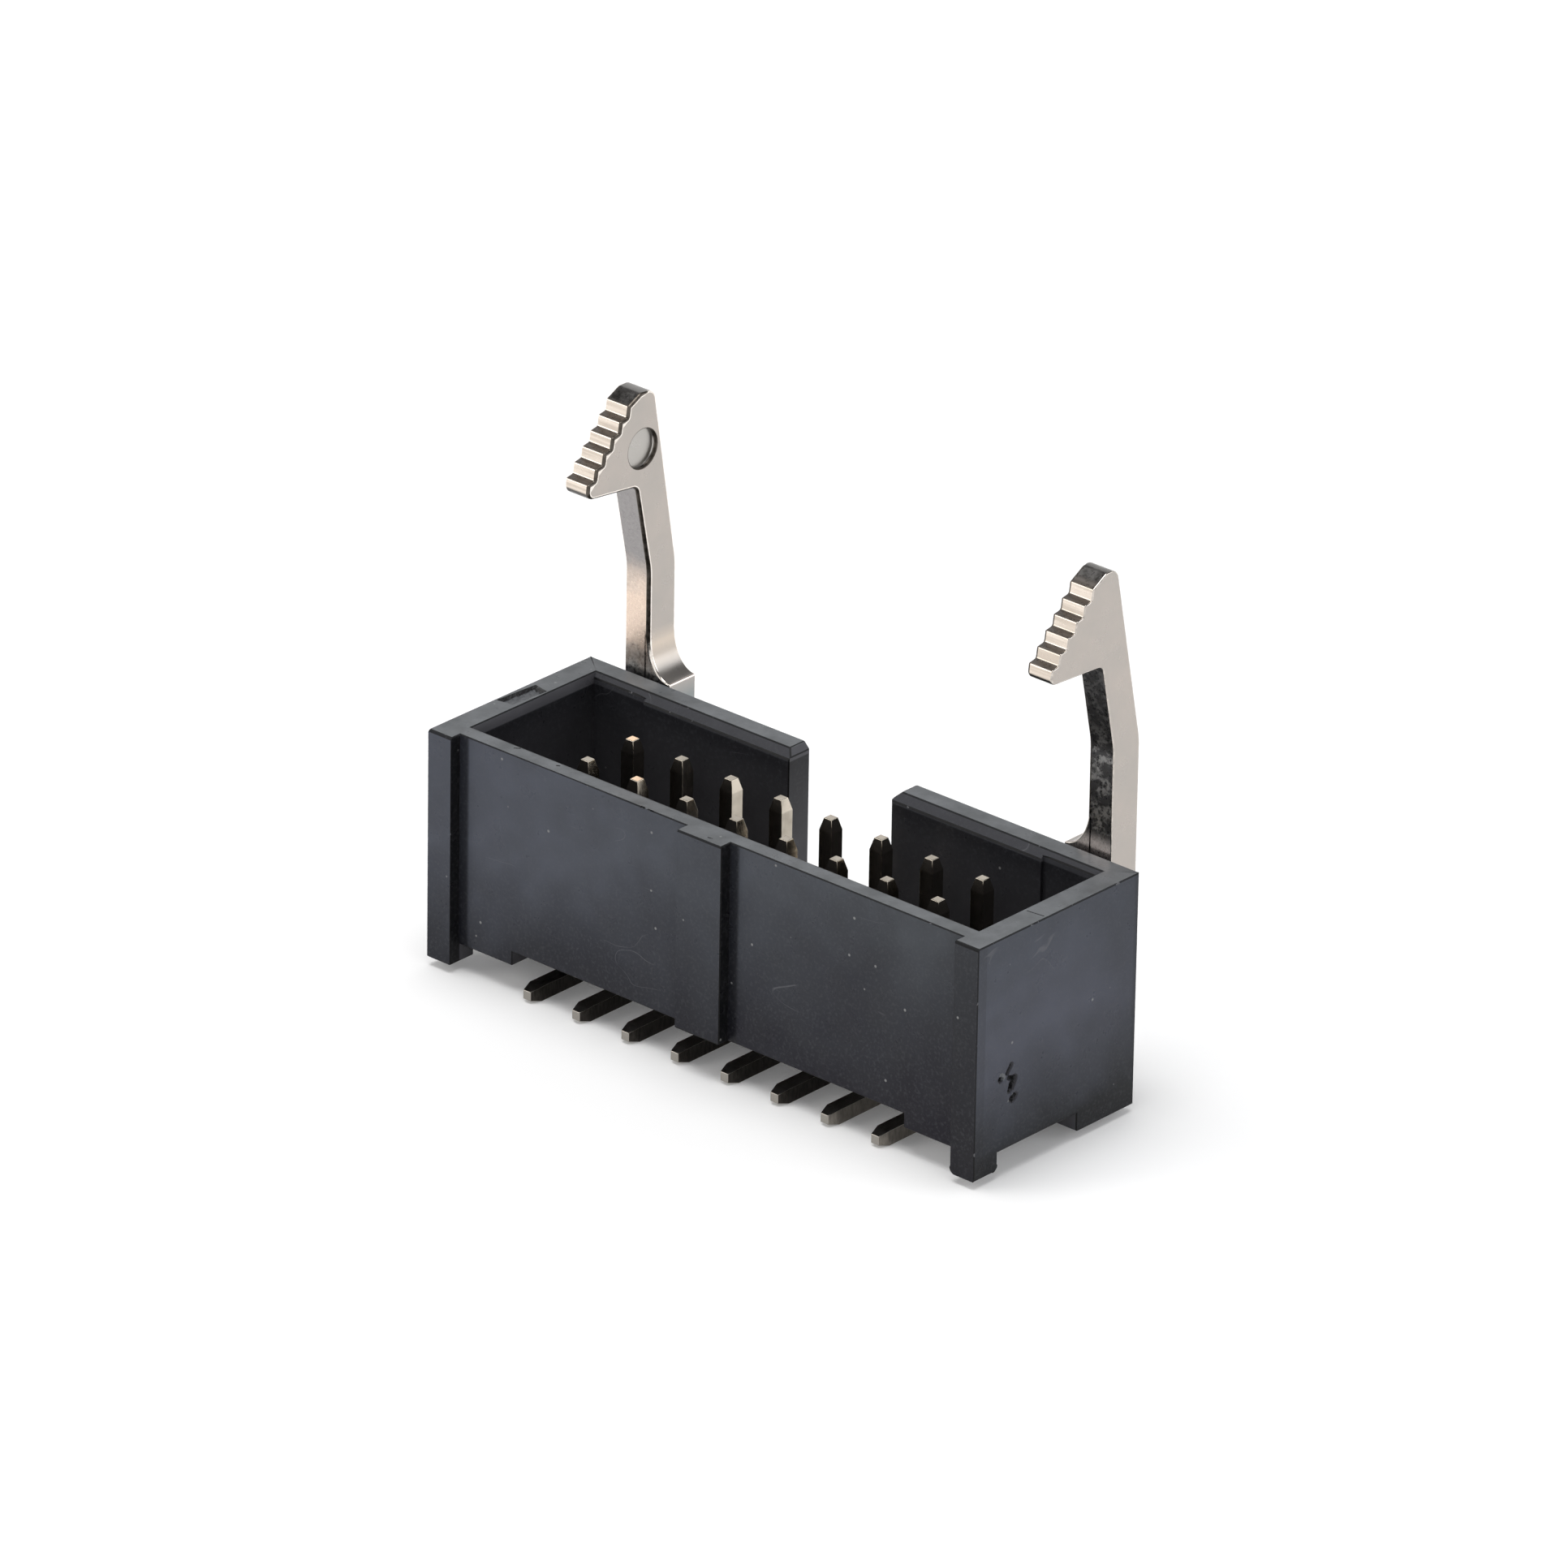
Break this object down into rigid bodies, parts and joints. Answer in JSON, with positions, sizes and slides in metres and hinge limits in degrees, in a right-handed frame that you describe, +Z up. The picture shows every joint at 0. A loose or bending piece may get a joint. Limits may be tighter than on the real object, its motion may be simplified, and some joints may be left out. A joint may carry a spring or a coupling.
{
  "type": "shrouded pin header",
  "caption": "Box header for a circuit board: a walled housing round two rows of square contacts with surface-mount tails, and two metal levers that latch and eject the plug.",
  "frame": {"origin": "middle of the contact pattern, on the board's surface under the tails", "axes": "+X along the rows of contacts, +Y towards the wall with the key slot and the levers, +Z up out of the board"},
  "size_m": [0.0278, 0.0109, 0.022],
  "materials": {
    "housing": "fine satin moulded thermoplastic, black",
    "contact": "tin-plated copper alloy, satin",
    "lever": "nickel-plated casting, satin",
    "pivot_pin": "drawn steel"
  },
  "bodies": {
    "header": {"housing": "housing", "pivot_pin_left": "pivot_pin", "pivot_pin_right": "pivot_pin", "contact_front_1": "contact", "contact_front_2": "contact", "contact_front_3": "contact", "contact_front_4": "contact", "contact_front_5": "contact", "contact_front_6": "contact", "contact_front_7": "contact", "contact_front_8": "contact", "contact_back_1": "contact", "contact_back_2": "contact", "contact_back_3": "contact", "contact_back_4": "contact", "contact_back_5": "contact", "contact_back_6": "contact", "contact_back_7": "contact", "contact_back_8": "contact"},
    "left_latch": {"lever_left": "lever"},
    "right_latch": {"lever_right": "lever"}
  },
  "joints": [
    {"name": "left_latch_swing", "type": "hinge", "parent": "header", "child": "left_latch", "pos_m": [-0.0117, 0.00475, 0.0029], "axis": [-1, 0, 0], "range_deg": [0, 40]},
    {"name": "right_latch_swing", "type": "hinge", "parent": "header", "child": "right_latch", "pos_m": [0.0117, 0.00475, 0.0029], "axis": [-1, 0, 0], "range_deg": [0, 40]}
  ]
}
